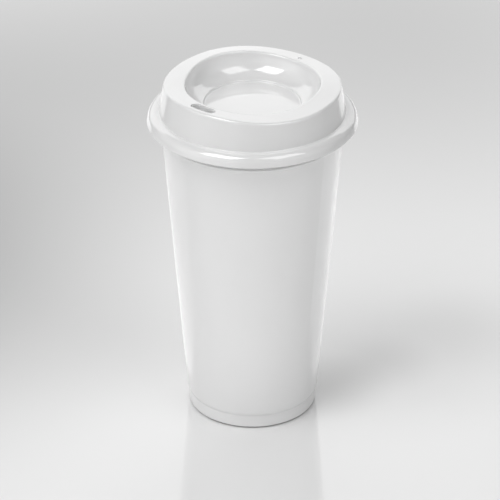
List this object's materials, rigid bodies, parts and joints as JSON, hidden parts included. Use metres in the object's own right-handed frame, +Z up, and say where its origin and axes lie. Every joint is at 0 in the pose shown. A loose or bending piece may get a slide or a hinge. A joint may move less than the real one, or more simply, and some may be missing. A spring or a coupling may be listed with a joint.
{
  "type": "plastic cup with lid",
  "caption": "Tall tapered drinking cup of moulded plastic with a foot ring, a collar bead and a turned rim, closed by a press-on domed lid that has a bowl, a drinking slot and a vent.",
  "frame": {"origin": "centre of the foot ring, on the surface the cup stands on", "axes": "+Z up along the cup's axis, -Y towards the drinking slot, +Y towards the vent, +X to the right seen from the slot's side"},
  "size_m": [0.098, 0.098, 0.17],
  "materials": {
    "cup_plastic": "satin white moulded polypropylene",
    "lid_plastic": "glossy white moulded polypropylene"
  },
  "bodies": {
    "cup": {"cup": "cup_plastic"},
    "lid": {"lid": "lid_plastic"}
  },
  "joints": [
    {"name": "lid_lift", "type": "slide", "parent": "cup", "child": "lid", "axis": [0, 0, 1], "range_m": [0, 0.06]}
  ]
}
